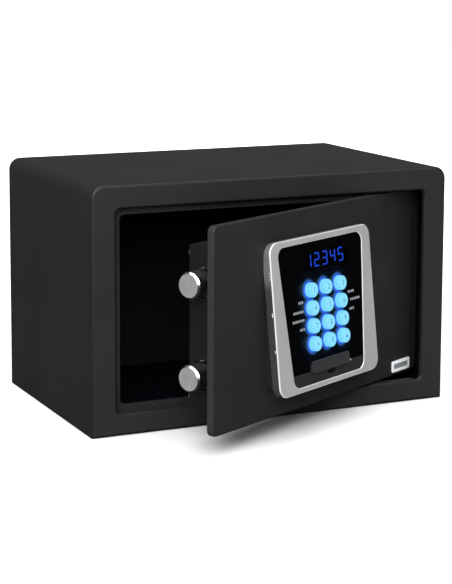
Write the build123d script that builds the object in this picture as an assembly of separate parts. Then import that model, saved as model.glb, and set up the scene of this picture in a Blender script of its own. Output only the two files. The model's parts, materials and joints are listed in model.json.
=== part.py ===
from build123d import *
import math
import os

# Compact in-room safe with a hinged door, a motorised bolt lock and a tilted keypad.
# Millimetres. X to the right seen from the front, Y towards the back, Z up.
# Origin: centre of the footprint of the cabinet. The door stands open by OPEN_DEG.

# ---- cabinet ----
WIDTH = 320.0
DEPTH = 200.0
HEIGHT = 200.0
FRONT_Y = -DEPTH / 2
BACK_Y = DEPTH / 2
SHEET = 2.0
TOP_BEND = 10.0
FRONT_T = 3.0
FRONT_EDGE_R = 2.5
PANEL_T = 2.5
OPEN_HALF = 139.0
SILL_Z = 18.0
HEAD_Z = 181.0
OPEN_CORNER_R = 4.0
OPEN_EDGE_R = 2.2
JAMB_T = 3.0
JAMB_DEPTH = 8.0
HINGE_JAMB_X = 134.0
STOP_T = 2.5
STOP_LIP = 5.5
STOP_END_X = 75.0
ANCHOR_D = 10.0
BASE_ANCHOR_X = 100.0
BASE_ANCHOR_Y = 40.0
BACK_ANCHOR_X = 110.0
BACK_ANCHOR_Z = 110.0
MAT_T = 4.0
MAT_GAP = 2.0
MAT_NOTCH_MARGIN = 4.0
MAT_CORNER_R = 3.0
MAT_HOLE_R = 12.0

# ---- strike behind the lock-side jamb ----
STRIKE_X = -139.0
STRIKE_T = 3.0
STRIKE_Y = 12.0
STRIKE_DEPTH = 42.0
STRIKE_Z0 = 36.0
STRIKE_Z1 = 152.0
STRIKE_HOLE_R = 11.8

# ---- door ----
OPEN_DEG = 26.9
HINGE_X = 87.5
HINGE_BACK = 27.0
DOOR_W = 275.0
DOOR_Z0 = 19.5
DOOR_Z1 = 179.5
DOOR_FRONT = 1.0
DOOR_T = 6.0
DOOR_CORNER_R = 5.0
DOOR_EDGE_R = 1.2
DOOR_BACK_EDGE_R = 0.6
TONGUE_X0 = 130.0
TONGUE_X1 = 150.0
TONGUE_FRONT = 3.5

# ---- hinge ----
PIN_R = 4.0
RUN_GAP = 0.05
PIN_STUB = 1.0
LUG_T = 6.0
LUG_R = 10.0
LUG_TOP_Z0 = 173.0
LUG_BOTTOM_Z0 = 20.3
BUSH_R = 6.0
BUSH_FLANGE_R = 8.0
BUSH_FLANGE_T = 2.0
LEAF_T = 4.0
LEAF_TOP_Z0 = 182.0
LEAF_BOTTOM_Z0 = 14.0
LEAF_HALF = 15.5
LEAF_FRONT = 12.0
LEAF_BACK = 42.0
LEAF_WEB_T = 3.0
LEAF_FOOT = 16.0

# ---- keypad unit, tilted upwards on the door ----
PAD_X = -7.2
PAD_Z = 98.95
PAD_STAND = 11.4
PAD_TILT = 6.0
PAD_HALF_W = 68.65
PAD_HALF_H = 60.3
PAD_CORNER_R = 9.5
PAD_T = 7.2
PAD_EDGE_R = 1.1
WINDOW_TOP = 55.2
WINDOW_BOTTOM = -56.0
WINDOW_A = -0.9
WINDOW_TOP_HALF = 58.0
WINDOW_BOTTOM_HALF = 47.9
WINDOW_R = 8.0
WINDOW_BEVEL = 0.6
LEDGE = 2.5
FASCIA_TOP = -0.4
FASCIA_T = 2.0
FASCIA_GAP = 0.12
SPLIT_B = -45.8
BASE_INSET = 4.0
BASE_WALL = 2.5
BASE_R = 6.0

# ---- keys ----
KEY_NAMES = ["1", "2", "3", "4", "5", "6", "7", "8", "9", "clear", "0", "lock"]
KEY_COLUMNS = 3
KEY_MIDDLE_A = -1.5
KEY_PITCH_A = 19.8
KEY_PITCH_B = 14.2
KEY_TOP_ROW_B = 18.1
KEY_R = 5.8
KEY_HOLE_R = 6.1
KEY_PROUD = 5.1
KEY_EDGE_R = 1.2
KEY_SKIRT_R = 6.7
KEY_SKIRT_TOP = -2.7
KEY_SKIRT_T = 0.8
KEY_STEM_R = 3.0
KEY_STEM_BOTTOM = -4.1
MAT_TOP = -5.5
MAT_PAD_T = 0.8
MAT_PAD_A = 28.0
MAT_PAD_B0 = -33.0
MAT_PAD_B1 = 26.0
BOARD_T = 1.6
KEYPAD_BOARD_A = 42.0
POST_A = 38.0
POST_B0 = -29.0
POST_B1 = 21.0
POST_R = 2.0

# ---- display ----
SCREEN_A = 5.5
SCREEN_B = 40.1
SCREEN_W = 64.0
SCREEN_H = 15.0
SCREEN_R = 1.0
LENS_T = 1.0
LENS_GAP = 0.15
DIGIT_H = 11.2
DIGIT_W = 6.9
DIGIT_PITCH = 11.1
DIGIT_FIRST_A = -16.9
SEGMENT_W = 1.05
SEGMENT_T = 0.3
SEGMENT_GAP = 0.25
MODULE_BACK = -4.5
DIGITS = ["bc", "abged", "abgcd", "fgbc", "afgcd"]

# ---- printed marks: centre a, centre b, length of each ----
MARKS = [
    (-33.3, 9.6, 9.0),
    (-37.2, 2.4, 15.0),
    (-38.0, -4.4, 18.0),
    (-33.6, -11.5, 9.0),
    (36.1, 8.5, 9.5),
    (41.2, 2.0, 14.0),
    (35.6, -5.4, 9.0),
]
MARK_PITCH = 2.3
MARK_W = 1.35
MARK_H = 1.9
MARK_T = 0.12
LAMP_A = 28.6
LAMP_B = -46.2
LAMP_R = 0.8
LAMP_T = 0.3

# ---- keyhole flap and emergency cylinder ----
FLAP_A = -0.9
FLAP_B = -42.9
FLAP_W = 51.6
FLAP_H = 9.6
FLAP_T = 2.0
FLAP_LIFT = 0.1
FLAP_CORNER_R = 3.2
FLAP_PIN_R = 0.5
FLAP_PIN_BORE_R = 0.57
FLAP_PIN_L = 1.2
EAR_W = 1.4
EAR_GAP = 0.3
NOTCH_A = 1.9
NOTCH_B = -49.6
NOTCH_L = 11.6
NOTCH_W = 4.4
KEYHOLE_R = 5.3
NOSE_R = 4.5
CYLINDER_R = 7.0
CYLINDER_HOLE_R = 7.3
NOSE_BACK = 1.2
CYLINDER_NOSE_BACK = -9.5
CYLINDER_BACK = 30.0
SHOULDER_R = 8.2
SHOULDER_T = 2.0
NUT_R = 10.5
NUT_T = 4.0
PLUG_R = 3.2
PLUG_BACK = 33.5
KEY_SLOT_W = 1.1
KEY_SLOT_H = 4.6
KEY_SLOT_DEPTH = 6.0
CAM_T = 2.5
CAM_L = 15.0
CAM_R = 4.5

# ---- label ----
LABEL_X0 = 108.5
LABEL_X1 = 135.8
LABEL_Z0 = 22.5
LABEL_Z1 = 32.2
LABEL_T = 0.8
LABEL_R = 1.3
LABEL_POCKET = 2.6
LABEL_POCKET_R = 0.5
LABEL_POCKET_DEPTH = 0.3

# ---- lock cover on the back of the door ----
COVER_X0 = -110.2
COVER_X1 = 70.0
COVER_Z0 = 31.4
COVER_Z1 = 158.2
COVER_BACK = 47.0
COVER_WALL = 1.5
COVER_BEND = 2.0
BOLT_HOLE_R = 11.8
STAND_R = 4.0
STANDS = [(-104.0, 38.3), (-104.0, 151.3), (24.0, 38.3), (62.0, 151.3)]
SCREW_R = 3.6
SCREW_T = 2.2
SCREW_SLOT = 0.9

# ---- bolts and drive ----
BOLT_R = 10.5
BOLT_BACK = 33.0
BOLT_HIGH_Z = 129.9
BOLT_LOW_Z = 57.8
BOLT_TIP_X = -127.5
BOLT_END_X = -66.0
BOLT_CHAMFER = 1.4
CARRIAGE_T = 5.0
CARRIAGE_Z0 = 45.0
CARRIAGE_Z1 = 143.0
CARRIAGE_FRONT = 24.0
CARRIAGE_BACK = 42.0
GUIDE_X0 = -106.0
GUIDE_T = 4.0
GUIDE_Z0 = 44.5
GUIDE_Z1 = 144.0
GUIDE_BACK = 44.5
GUIDE_FOOT = 16.0
GUIDE_FOOT_T = 2.5
MODULE = 1.5
TEETH = 12
PITCH_R = MODULE * TEETH / 2
TOOTH_PITCH = math.pi * MODULE
TOOTH_FILL = 0.42
ADDENDUM = 1.2
DEDENDUM = 1.65
TOOTH_SLOPE = math.tan(math.radians(20.0))
PINION_X = -18.0
PINION_Z = 80.0
RACK_FRONT = 32.0
RACK_BACK = 38.0
RACK_END_X = 12.0
RACK_TOP = 97.0
RACK_TEETH_LEFT = -5
RACK_TEETH_RIGHT = 5
SHAFT_R = 2.0
SHAFT_FRONT = 23.0
SHAFT_END_GAP = 1.0
PINION_BOSS_R = 5.0
PINION_BOSS_BACK = 41.0
MOTOR_R = 9.5
MOTOR_FRONT = 8.5
GEARBOX_R = 11.0
GEARBOX_FRONT = 20.0
GEARBOX_BACK = 29.0
MOTOR_PLATE_T = 2.0
MOTOR_PLATE_HALF = 16.0
MOTOR_PLATE_Z0 = 69.5
MOTOR_PLATE_Z1 = 88.0
MOTOR_HOLE_R = 5.0
RAIL_X0 = -28.0
RAIL_X1 = -8.0
RAIL_GAP = 0.3
RAIL_TOP = 102.5
RAIL_BACK = 39.0
SWITCH_W = 12.0
SWITCH_H = 6.5
SWITCH_BACK = 22.5
SWITCH_PLACES = [(-58.5, 108.0), (-89.5, 88.0)]

# ---- electronics and battery ----
BOARD_X0 = -45.0
BOARD_X1 = 52.0
BOARD_Z0 = 104.5
BOARD_Z1 = 154.0
BOARD_FRONT = 14.0
BOARD_POST_INSET = 5.0
BOARD_POST_R = 2.5
CABLE_PLUG_MARGIN = 1.0
CHIPS = [
    (-36.0, 112.0, 14.0, 10.0, 3.0),
    (-12.0, 128.0, 16.0, 16.0, 2.2),
    (12.0, 140.0, 12.0, 9.0, 11.0),
    (30.0, 132.0, 9.0, 9.0, 13.0),
    (-30.0, 140.0, 18.0, 7.0, 7.0),
    (40.0, 110.0, 10.0, 6.0, 6.0),
]
CABLE_X = 22.0
CABLE_Z = 98.0
CABLE_W = 12.0
CABLE_T = 1.0
CABLE_HOLE_R = 8.0
CABLE_TURN = 10.5
CABLE_PLUG_Z0 = 106.0
CABLE_PLUG_Z1 = 110.0
HOLDER_X0 = 32.0
HOLDER_X1 = 66.0
HOLDER_Z0 = 35.0
HOLDER_Z1 = 99.0
HOLDER_FRONT = 9.0
HOLDER_BACK = 41.0
HOLDER_WALL = 1.5
HOLDER_FOOT = 6.0
CELL_R = 7.1
CELL_L = 49.2
CELL_Z0 = 41.0
CELL_CAP_R = 2.7
CELL_CAP_L = 1.3
CELL_XS = [41.2, 56.8]
CELL_BACKS = [18.0, 32.9]
HATCH_X0 = 30.0
HATCH_X1 = 67.0
HATCH_Z0 = 35.0
HATCH_Z1 = 100.0
HATCH_T = 1.6
HATCH_LIFT = 0.3
HATCH_RIB_T = 0.8
HATCH_RIB_W = 1.2
HATCH_RIB_PITCH = 3.0
HATCH_RIBS = 5
HATCH_WINDOW_INSET = 3.5
RAIL_LIP = 1.6
RAIL_T = 1.2
RAIL_LEN_Z1 = 144.0
RESET_X = -80.0
RESET_Z = 150.0
RESET_R = 3.0
RESET_HOLE_R = 3.3
RESET_PROUD = 2.6
RESET_SKIRT_R = 4.4
RESET_SKIRT_T = 1.0
RESET_SKIRT_GAP = 0.3

HINGE_Y = FRONT_Y + HINGE_BACK
HINGE_AXIS = Axis((HINGE_X, HINGE_Y, 0), (0, 0, 1))
FAR = 400.0


def at(back):
    """Y of a plane that lies `back` behind the front face."""
    return FRONT_Y + back


def block(xs, ys, zs):
    """Box between two limits on each axis."""
    size = Box(xs[1] - xs[0], ys[1] - ys[0], zs[1] - zs[0])
    return Pos((xs[0] + xs[1]) / 2, (ys[0] + ys[1]) / 2, (zs[0] + zs[1]) / 2) * size


def rod_y(radius, x, z, ys):
    """Cylinder along Y."""
    length = ys[1] - ys[0]
    return Pos(x, (ys[0] + ys[1]) / 2, z) * Rot(90, 0, 0) * Cylinder(radius, length)


def rod_x(radius, xs, y, z):
    """Cylinder along X."""
    length = xs[1] - xs[0]
    return Pos((xs[0] + xs[1]) / 2, y, z) * Rot(0, 90, 0) * Cylinder(radius, length)


def rod_z(radius, x, y, zs):
    """Cylinder along Z."""
    return Pos(x, y, (zs[0] + zs[1]) / 2) * Cylinder(radius, zs[1] - zs[0])


def slab_y(xs, zs, ys, radius):
    """Plate across Y with four rounded corners."""
    shape = Pos((xs[0] + xs[1]) / 2, (zs[0] + zs[1]) / 2) * RectangleRounded(
        xs[1] - xs[0], zs[1] - zs[0], radius
    )
    plane = Plane(origin=(0, ys[0], 0), x_dir=(1, 0, 0), z_dir=(0, -1, 0))
    return extrude(plane * shape, amount=-(ys[1] - ys[0]))


def swing(shape):
    """Turn a piece of the closed door into the open pose."""
    return shape.rotate(HINGE_AXIS, OPEN_DEG)


# ---------------------------------------------------------------- cabinet
def arch(half, top, bottom, bend, ys):
    """Prism across Y with two rounded top corners."""
    body = block((-half, half), ys, (bottom, top))
    edges = body.edges().filter_by(Axis.Y).group_by(Axis.Z)[-1]
    return fillet(edges, bend)


def outer_wrap():
    ys = (FRONT_Y + FRONT_T, BACK_Y)
    outer = arch(WIDTH / 2, HEIGHT, 0, TOP_BEND, ys)
    inner = arch(WIDTH / 2 - SHEET, HEIGHT - SHEET, -SHEET, TOP_BEND - SHEET, ys)
    return outer - inner


def base_plate():
    half = WIDTH / 2 - SHEET
    plate = block((-half, half), (FRONT_Y + FRONT_T, BACK_Y - PANEL_T), (0, PANEL_T))
    for x in (-BASE_ANCHOR_X, BASE_ANCHOR_X):
        plate -= rod_z(ANCHOR_D / 2, x, BASE_ANCHOR_Y, (-PANEL_T, PANEL_T * 2))
    return plate


def back_panel():
    ys = (BACK_Y - PANEL_T, BACK_Y)
    panel = arch(WIDTH / 2 - SHEET, HEIGHT - SHEET, 0, TOP_BEND - SHEET, ys)
    for x in (-BACK_ANCHOR_X, BACK_ANCHOR_X):
        panel -= rod_y(ANCHOR_D / 2, x, BACK_ANCHOR_Z, (ys[0] - PANEL_T, ys[1] + PANEL_T))
    return panel


def front_frame():
    plate = arch(WIDTH / 2, HEIGHT, 0, TOP_BEND, (FRONT_Y, FRONT_Y + FRONT_T))
    jamb = slab_y(
        (-OPEN_HALF - JAMB_T, OPEN_HALF + JAMB_T),
        (SILL_Z - JAMB_T, HEAD_Z + JAMB_T),
        (FRONT_Y, at(JAMB_DEPTH)),
        OPEN_CORNER_R + JAMB_T,
    )
    jamb -= block((HINGE_JAMB_X, FAR), (at(FRONT_T), FAR), (0, HEIGHT))
    hole = slab_y(
        (-OPEN_HALF, OPEN_HALF),
        (SILL_Z, HEAD_Z),
        (FRONT_Y - JAMB_DEPTH, at(JAMB_DEPTH * 2)),
        OPEN_CORNER_R,
    )
    frame = plate + jamb - hole
    face = frame.faces().sort_by(Axis.Y)[0]
    frame = fillet(face.inner_wires()[0].edges(), OPEN_EDGE_R)
    face = frame.faces().sort_by(Axis.Y)[0]
    return fillet(face.outer_wire().edges(), FRONT_EDGE_R)


def door_stop_frame():
    ys = (at(JAMB_DEPTH), at(JAMB_DEPTH + STOP_T))
    outer = slab_y(
        (-OPEN_HALF - JAMB_T, OPEN_HALF + JAMB_T),
        (SILL_Z - JAMB_T, HEAD_Z + JAMB_T),
        ys,
        OPEN_CORNER_R + JAMB_T,
    )
    inner = slab_y(
        (-OPEN_HALF + STOP_LIP, OPEN_HALF + FAR),
        (SILL_Z + STOP_LIP, HEAD_Z - STOP_LIP),
        (ys[0] - STOP_T, ys[1] + STOP_T),
        OPEN_CORNER_R,
    )
    return outer - inner - block((STOP_END_X, FAR), (FRONT_Y, BACK_Y), (0, HEIGHT))


def strike_bracket():
    ys = (at(STRIKE_Y), at(STRIKE_Y + STRIKE_DEPTH))
    wall = -WIDTH / 2 + SHEET
    plate = block((STRIKE_X, STRIKE_X + STRIKE_T), ys, (STRIKE_Z0, STRIKE_Z1))
    for z in (BOLT_LOW_Z, BOLT_HIGH_Z):
        plate -= rod_x(STRIKE_HOLE_R, (STRIKE_X - STRIKE_T, STRIKE_X + STRIKE_T * 2), at(BOLT_BACK), z)
    plate += block((wall, STRIKE_X), ys, (STRIKE_Z0, STRIKE_Z0 + STRIKE_T))
    plate += block((wall, STRIKE_X), ys, (STRIKE_Z1 - STRIKE_T, STRIKE_Z1))
    return plate


def hinge_bracket(leaf_z0, wall_z):
    """Leaf with a bushed bore, a web and a foot welded to the floor or the roof."""
    xs = (HINGE_X - LEAF_HALF, HINGE_X + LEAF_HALF)
    leaf_z1 = leaf_z0 + LEAF_T
    leaf = block(xs, (at(LEAF_FRONT), at(LEAF_BACK)), (leaf_z0, leaf_z1))
    leaf -= rod_z(BUSH_R + RUN_GAP, HINGE_X, HINGE_Y, (leaf_z0 - LEAF_T, leaf_z1 + LEAF_T))
    web_y = (at(LEAF_BACK - LEAF_WEB_T), at(LEAF_BACK))
    web_z = (min(leaf_z0, wall_z), max(leaf_z1, wall_z))
    web = block(xs, web_y, web_z)
    sign = 1 if wall_z < leaf_z0 else -1
    foot_z = sorted((wall_z, wall_z + sign * LEAF_WEB_T))
    foot = block(xs, (at(LEAF_BACK), at(LEAF_BACK + LEAF_FOOT)), foot_z)
    return leaf + web + foot


def hinge_brackets():
    upper = hinge_bracket(LEAF_TOP_Z0, HEIGHT - SHEET)
    lower = hinge_bracket(LEAF_BOTTOM_Z0, PANEL_T)
    return Compound([upper, lower])


def hinge_bushes():
    bushes = []
    for leaf_z0, flange_z0 in (
        (LEAF_TOP_Z0, LEAF_TOP_Z0 - BUSH_FLANGE_T),
        (LEAF_BOTTOM_Z0, LEAF_BOTTOM_Z0 + LEAF_T),
    ):
        bush = rod_z(BUSH_R, HINGE_X, HINGE_Y, (leaf_z0, leaf_z0 + LEAF_T))
        bush += rod_z(BUSH_FLANGE_R, HINGE_X, HINGE_Y, (flange_z0, flange_z0 + BUSH_FLANGE_T))
        bush -= rod_z(PIN_R + RUN_GAP, HINGE_X, HINGE_Y, (leaf_z0 - LEAF_T, leaf_z0 + LEAF_T * 2))
        bushes.append(bush)
    return Compound(bushes)


def floor_mat():
    half = WIDTH / 2 - SHEET - MAT_GAP
    xs = (-half, half)
    ys = (at(JAMB_DEPTH + STOP_T + MAT_GAP), BACK_Y - PANEL_T - MAT_GAP)
    mat = block(xs, ys, (PANEL_T, PANEL_T + MAT_T))
    mat = fillet(mat.edges().filter_by(Axis.Z), MAT_CORNER_R)
    margin = LEAF_HALF + MAT_NOTCH_MARGIN
    notch = block(
        (HINGE_X - margin, HINGE_X + margin),
        (FRONT_Y, at(LEAF_BACK + LEAF_FOOT + MAT_NOTCH_MARGIN)),
        (0, HEIGHT),
    )
    mat -= notch
    for x in (-BASE_ANCHOR_X, BASE_ANCHOR_X):
        mat -= rod_z(MAT_HOLE_R, x, BASE_ANCHOR_Y, (0, HEIGHT))
    return mat


# ---------------------------------------------------------------- door
def door_plate():
    plate = slab_y(
        (-DOOR_W / 2, DOOR_W / 2),
        (DOOR_Z0, DOOR_Z1),
        (at(DOOR_FRONT), at(DOOR_FRONT + DOOR_T)),
        DOOR_CORNER_R,
    )
    plate = fillet(plate.faces().sort_by(Axis.Y)[0].edges(), DOOR_EDGE_R)
    plate = fillet(plate.faces().sort_by(Axis.Y)[-1].edges(), DOOR_BACK_EDGE_R)
    plate += pry_tongue()
    through = (FRONT_Y - DOOR_T, at(DOOR_T * 2))
    plate -= rod_y(CABLE_HOLE_R, CABLE_X, CABLE_Z, through)
    plate -= rod_y(CYLINDER_HOLE_R, PAD_X + FLAP_A, lock_z(), through)
    return plate


def pry_tongue():
    """Thinner lip on the hinge side that lies behind the front frame when the door is shut."""
    return slab_y(
        (TONGUE_X0, TONGUE_X1),
        (DOOR_Z0, DOOR_Z1),
        (at(TONGUE_FRONT), at(DOOR_FRONT + DOOR_T - DOOR_BACK_EDGE_R)),
        DOOR_CORNER_R,
    )


def hinge_lug(z0):
    """Tab from the back of the door to the pin."""
    zs = (z0, z0 + LUG_T)
    door_back = at(DOOR_FRONT + DOOR_T)
    lug = block((HINGE_X - LUG_R, HINGE_X + LUG_R), (door_back, HINGE_Y), zs)
    lug += rod_z(LUG_R, HINGE_X, HINGE_Y, zs)
    return lug - rod_z(PIN_R, HINGE_X, HINGE_Y, (z0 - LUG_T, z0 + LUG_T * 2))


def hinge_lugs():
    return Compound([hinge_lug(z0) for z0 in (LUG_TOP_Z0, LUG_BOTTOM_Z0)])


def hinge_pins():
    upper = rod_z(PIN_R, HINGE_X, HINGE_Y, (LUG_TOP_Z0, LEAF_TOP_Z0 + LEAF_T + PIN_STUB))
    lower = rod_z(PIN_R, HINGE_X, HINGE_Y, (LEAF_BOTTOM_Z0 - PIN_STUB, LUG_BOTTOM_Z0 + LUG_T))
    return Compound([upper, lower])


def label_plate():
    front = at(DOOR_FRONT)
    xs = (LABEL_X0, LABEL_X1)
    zs = (LABEL_Z0, LABEL_Z1)
    plate = slab_y(xs, zs, (front - LABEL_T, front), LABEL_R)
    pocket = slab_y(
        (xs[0] + LABEL_POCKET, xs[1] - LABEL_POCKET),
        (zs[0] + LABEL_POCKET, zs[1] - LABEL_POCKET),
        (front - LABEL_T * 2, front - LABEL_T + LABEL_POCKET_DEPTH),
        LABEL_POCKET_R,
    )
    return plate - pocket


# ---------------------------------------------------------------- keypad unit
# Local frame of the unit: a along X, b up along the tilted face, h outwards.
def pad_plane():
    tilt = math.radians(PAD_TILT)
    origin = (PAD_X, at(DOOR_FRONT) - PAD_STAND, PAD_Z)
    return Plane(origin=origin, x_dir=(1, 0, 0), z_dir=(0, -math.cos(tilt), math.sin(tilt)))


def on_pad(shape):
    """Place a shape made in the local frame of the unit, with the door open."""
    return swing(pad_plane().location * shape)


def on_door_face(shape):
    """As on_pad, with the shape cut off flush where it meets the front of the door."""
    placed = pad_plane().location * shape
    return swing(placed & block((-FAR, FAR), (-FAR, at(DOOR_FRONT)), (-FAR, FAR)))


def lock_z():
    """Height of the keyhole centre on the closed door."""
    return PAD_Z + FLAP_B * math.cos(math.radians(PAD_TILT))


def pad_face_back(b):
    """How far in front of the front plane of the door the unit's face stands at b."""
    return PAD_STAND - b * math.sin(math.radians(PAD_TILT))


def pad_plate(half_w, half_h, radius, hs):
    return Pos(0, 0, hs[0]) * extrude(RectangleRounded(half_w * 2, half_h * 2, radius), hs[1] - hs[0])


def window_prism(shrink, radius, hs):
    """Tapered window, wider at the top, drawn in by `shrink`."""
    outline = Polyline(
        (WINDOW_A - WINDOW_BOTTOM_HALF + shrink, WINDOW_BOTTOM + shrink),
        (WINDOW_A + WINDOW_BOTTOM_HALF - shrink, WINDOW_BOTTOM + shrink),
        (WINDOW_A + WINDOW_TOP_HALF - shrink, WINDOW_TOP - shrink),
        (WINDOW_A - WINDOW_TOP_HALF + shrink, WINDOW_TOP - shrink),
        close=True,
    )
    sketch = make_face(outline)
    sketch = fillet(sketch.vertices(), radius)
    return Pos(0, 0, hs[0]) * extrude(sketch, hs[1] - hs[0])


def keypad_bezel():
    ring = pad_plate(PAD_HALF_W, PAD_HALF_H, PAD_CORNER_R, (-PAD_T, 0))
    ring = fillet(ring.faces().sort_by(Axis.Z)[-1].edges(), PAD_EDGE_R)
    shelf = FASCIA_TOP - FASCIA_T
    ring -= window_prism(0, WINDOW_R, (shelf, PAD_T))
    ring -= window_prism(LEDGE, WINDOW_R - LEDGE, (-PAD_T * 2, shelf))
    rim = ring.faces().sort_by(Axis.Z)[-1].inner_wires()[0].edges()
    return on_door_face(chamfer(rim, WINDOW_BEVEL))


def keypad_base():
    half_w = PAD_HALF_W - BASE_INSET
    half_h = PAD_HALF_H - BASE_INSET
    hs = (-PAD_HALF_H, -PAD_T)
    ring = pad_plate(half_w, half_h, BASE_R, hs)
    ring -= pad_plate(half_w - BASE_WALL, half_h - BASE_WALL, BASE_R - BASE_WALL, hs)
    return on_door_face(ring)


def key_centre(index):
    column = index % KEY_COLUMNS
    row = index // KEY_COLUMNS
    return KEY_MIDDLE_A + (column - 1) * KEY_PITCH_A, KEY_TOP_ROW_B - row * KEY_PITCH_B


def flap_axis():
    """b and h of the hinge line of the keyhole flap."""
    return FLAP_B + FLAP_H / 2 - FLAP_T / 2, FASCIA_TOP + FLAP_LIFT + FLAP_T / 2


def ear(side):
    """Small ear that carries one end of the flap pin."""
    b, h = flap_axis()
    inner = FLAP_A + side * (FLAP_W / 2 + EAR_GAP)
    a0, a1 = sorted((inner, inner + side * EAR_W))
    base = block((a0, a1), (b - FLAP_T / 2, b + FLAP_T / 2), (FASCIA_TOP, h))
    base += rod_x(FLAP_T / 2, (a0, a1), b, h)
    return base - rod_x(FLAP_PIN_BORE_R, (a0 - EAR_W, a1 + EAR_W), b, h)


def fascia_blank(b0, b1):
    """Part of the window filling between two heights."""
    hs = (FASCIA_TOP - FASCIA_T, FASCIA_TOP)
    blank = window_prism(FASCIA_GAP, WINDOW_R - FASCIA_GAP, hs)
    return blank & block((-FAR, FAR), (b0, b1), hs)


def keyhole_opening():
    return Pos(FLAP_A, FLAP_B, 0) * Cylinder(KEYHOLE_R, FAR)


def keypad_fascia():
    plate = fascia_blank(SPLIT_B, FAR)
    for index in range(len(KEY_NAMES)):
        a, b = key_centre(index)
        plate -= Pos(a, b, 0) * Cylinder(KEY_HOLE_R, FAR)
    screen = extrude(RectangleRounded(SCREEN_W, SCREEN_H, SCREEN_R), FAR / 2, both=True)
    plate -= Pos(SCREEN_A, SCREEN_B, 0) * screen
    plate -= keyhole_opening()
    plate += ear(-1)
    plate += ear(1)
    return on_pad(plate)


def fascia_lower():
    plate = fascia_blank(-FAR, SPLIT_B) - keyhole_opening()
    notch = extrude(SlotOverall(NOTCH_L, NOTCH_W), FASCIA_T / 2, both=True)
    return on_pad(plate - Pos(NOTCH_A, NOTCH_B, FASCIA_TOP) * notch)


def display_lens():
    lens = extrude(
        RectangleRounded(SCREEN_W - LENS_GAP * 2, SCREEN_H - LENS_GAP * 2, SCREEN_R - LENS_GAP),
        LENS_T,
    )
    return on_pad(Pos(SCREEN_A, SCREEN_B, FASCIA_TOP - LENS_T) * lens)


def segment_top():
    return FASCIA_TOP - LENS_T - LENS_GAP


def display_module():
    top = segment_top() - SEGMENT_T
    half_w = SCREEN_W / 2 - LENS_GAP * 2
    half_h = SCREEN_H / 2 - LENS_GAP * 2
    return on_pad(
        block(
            (SCREEN_A - half_w, SCREEN_A + half_w),
            (SCREEN_B - half_h, SCREEN_B + half_h),
            (MODULE_BACK, top),
        )
    )


def segment(letter):
    """One bar of a seven-segment digit, centred on the digit."""
    half_w = DIGIT_W / 2 - SEGMENT_W / 2
    half_h = DIGIT_H / 2 - SEGMENT_W / 2
    flat = (DIGIT_W - SEGMENT_W - SEGMENT_GAP * 2, SEGMENT_W)
    upright = (SEGMENT_W, half_h - SEGMENT_W / 2 - SEGMENT_GAP)
    places = {
        "a": (0, half_h, flat),
        "g": (0, 0, flat),
        "d": (0, -half_h, flat),
        "b": (half_w, half_h / 2, upright),
        "c": (half_w, -half_h / 2, upright),
        "f": (-half_w, half_h / 2, upright),
        "e": (-half_w, -half_h / 2, upright),
    }
    a, b, size = places[letter]
    return Pos(a, b, segment_top() - SEGMENT_T / 2) * Box(size[0], size[1], SEGMENT_T)


def display_digits():
    bars = []
    for place, letters in enumerate(DIGITS):
        a = DIGIT_FIRST_A + place * DIGIT_PITCH
        for letter in letters:
            bars.append(on_pad(Pos(a, SCREEN_B, 0) * segment(letter)))
    return Compound(bars)


def fascia_marks():
    """Rows of short printed dashes beside the keys and a round lamp."""
    marks = []
    for a, b, length in MARKS:
        count = int(length / MARK_PITCH)
        for step in range(count):
            offset = (step - (count - 1) / 2) * MARK_PITCH
            dash = Pos(a + offset, b, FASCIA_TOP + MARK_T / 2) * Box(MARK_W, MARK_H, MARK_T)
            marks.append(on_pad(dash))
    lamp = Pos(LAMP_A, LAMP_B, FASCIA_TOP + LAMP_T / 2) * Cylinder(LAMP_R, LAMP_T)
    marks.append(on_pad(lamp))
    return Compound(marks)


def keycap(index):
    a, b = key_centre(index)
    cap = Cylinder(KEY_R, KEY_PROUD - KEY_SKIRT_TOP)
    cap = fillet(cap.edges().sort_by(Axis.Z)[-1], KEY_EDGE_R)
    cap = Pos(0, 0, (KEY_PROUD + KEY_SKIRT_TOP) / 2) * cap
    cap += Pos(0, 0, KEY_SKIRT_TOP - KEY_SKIRT_T / 2) * Cylinder(KEY_SKIRT_R, KEY_SKIRT_T)
    stem_top = KEY_SKIRT_TOP - KEY_SKIRT_T
    stem = Cylinder(KEY_STEM_R, stem_top - KEY_STEM_BOTTOM)
    cap += Pos(0, 0, (stem_top + KEY_STEM_BOTTOM) / 2) * stem
    return on_pad(Pos(a, b, 0) * cap)


def key_mat():
    hs = (MAT_TOP - MAT_PAD_T, MAT_TOP)
    xs = (KEY_MIDDLE_A - MAT_PAD_A, KEY_MIDDLE_A + MAT_PAD_A)
    return on_pad(block(xs, (MAT_PAD_B0, MAT_PAD_B1), hs))


def keypad_board():
    top = MAT_TOP - MAT_PAD_T
    hs = (top - BOARD_T, top)
    return on_pad(block((-KEYPAD_BOARD_A, KEYPAD_BOARD_A), (MAT_PAD_B0, MAT_PAD_B1), hs))


def keyhole_flap():
    b, h = flap_axis()
    lower = FASCIA_TOP + FLAP_LIFT
    flap = extrude(RectangleRounded(FLAP_W, FLAP_H, FLAP_CORNER_R), FLAP_T)
    flap = Pos(FLAP_A, FLAP_B, lower) * flap
    half = FLAP_W / 2
    crest = rod_x(FLAP_T / 2, (FLAP_A - half, FLAP_A + half), b, h)
    outline = extrude(RectangleRounded(FLAP_W, FLAP_H, FLAP_CORNER_R), FAR, both=True)
    flap -= block((-FAR, FAR), (b, FAR), (-FAR, FAR))
    flap += crest & Pos(FLAP_A, FLAP_B, 0) * outline
    pin_half = half + EAR_GAP + FLAP_PIN_L
    flap += rod_x(FLAP_PIN_R, (FLAP_A - pin_half, FLAP_A + pin_half), b, h)
    return on_pad(flap)


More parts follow.
